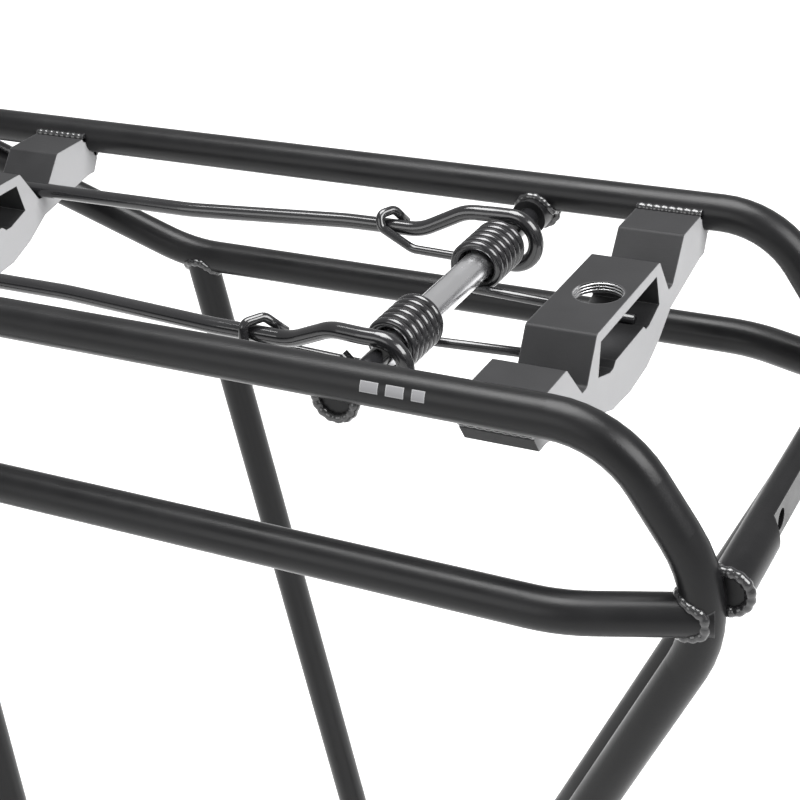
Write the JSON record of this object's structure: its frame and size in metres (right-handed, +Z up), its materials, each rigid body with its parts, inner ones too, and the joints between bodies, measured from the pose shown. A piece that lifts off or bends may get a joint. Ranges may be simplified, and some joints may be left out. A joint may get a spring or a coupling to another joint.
{
  "type": "bicycle rear rack",
  "caption": "Tubular bicycle rear rack with lowered pannier rails, two extruded deck bridges, a sprung wire load clamp, swivelling front stays and a lamp tube.",
  "frame": {"origin": "midway between the two foot eyelets, on their common axis", "axes": "+X towards the bicycle's rear, along the deck; +Y towards the bicycle's right side; +Z up"},
  "size_m": [0.4857, 0.182, 0.412],
  "materials": {
    "frame_black": "satin black powder coat on aluminium tube",
    "bridge_black": "matt black anodised extrusion with paler sawn ends",
    "wire_black": "gloss black coat on spring steel wire",
    "sleeve_steel": "polished with fine lengthwise lines",
    "stay_black": "satin black strip",
    "fastener_steel": "plain stainless steel"
  },
  "bodies": {
    "frame": {"upper_rail_left": "frame_black", "upper_rail_right": "frame_black", "lower_rail_left": "frame_black", "lower_rail_right": "frame_black", "front_strut_left": "frame_black", "front_strut_right": "frame_black", "foot_plate_left": "frame_black", "foot_plate_right": "frame_black", "front_cross_tube": "frame_black", "lamp_tube": "frame_black", "rear_bridge": "bridge_black", "front_bridge": "bridge_black", "spring_lug_left": "frame_black", "spring_lug_right": "frame_black", "spring_axle": "wire_black", "spring_sleeve": "sleeve_steel", "torsion_spring_left": "wire_black", "torsion_spring_right": "wire_black", "stay_tabs": "frame_black", "stay_bolts": "fastener_steel", "stay_nuts": "fastener_steel"},
    "bail": {"bail": "wire_black"},
    "stay_left": {"stay_left": "stay_black"},
    "stay_right": {"stay_right": "stay_black"}
  },
  "joints": [
    {"name": "bail_lift", "type": "hinge", "parent": "frame", "child": "bail", "pos_m": [0.0814, 0, 0.393], "axis": [0, 1, 0], "range_deg": [0, 100], "stiffness_Nm_per_rad": 2, "springref_deg": -20.05, "deforming": ["torsion_spring_left", "torsion_spring_right"]},
    {"name": "stay_left_swivel", "type": "hinge", "parent": "frame", "child": "stay_left", "pos_m": [-0.198, -0.0198, 0.395], "axis": [0, 1, 0], "range_deg": [-60, 50]},
    {"name": "stay_right_swivel", "type": "hinge", "parent": "frame", "child": "stay_right", "pos_m": [-0.198, 0.0198, 0.395], "axis": [0, 1, 0], "range_deg": [-60, 50]}
  ]
}
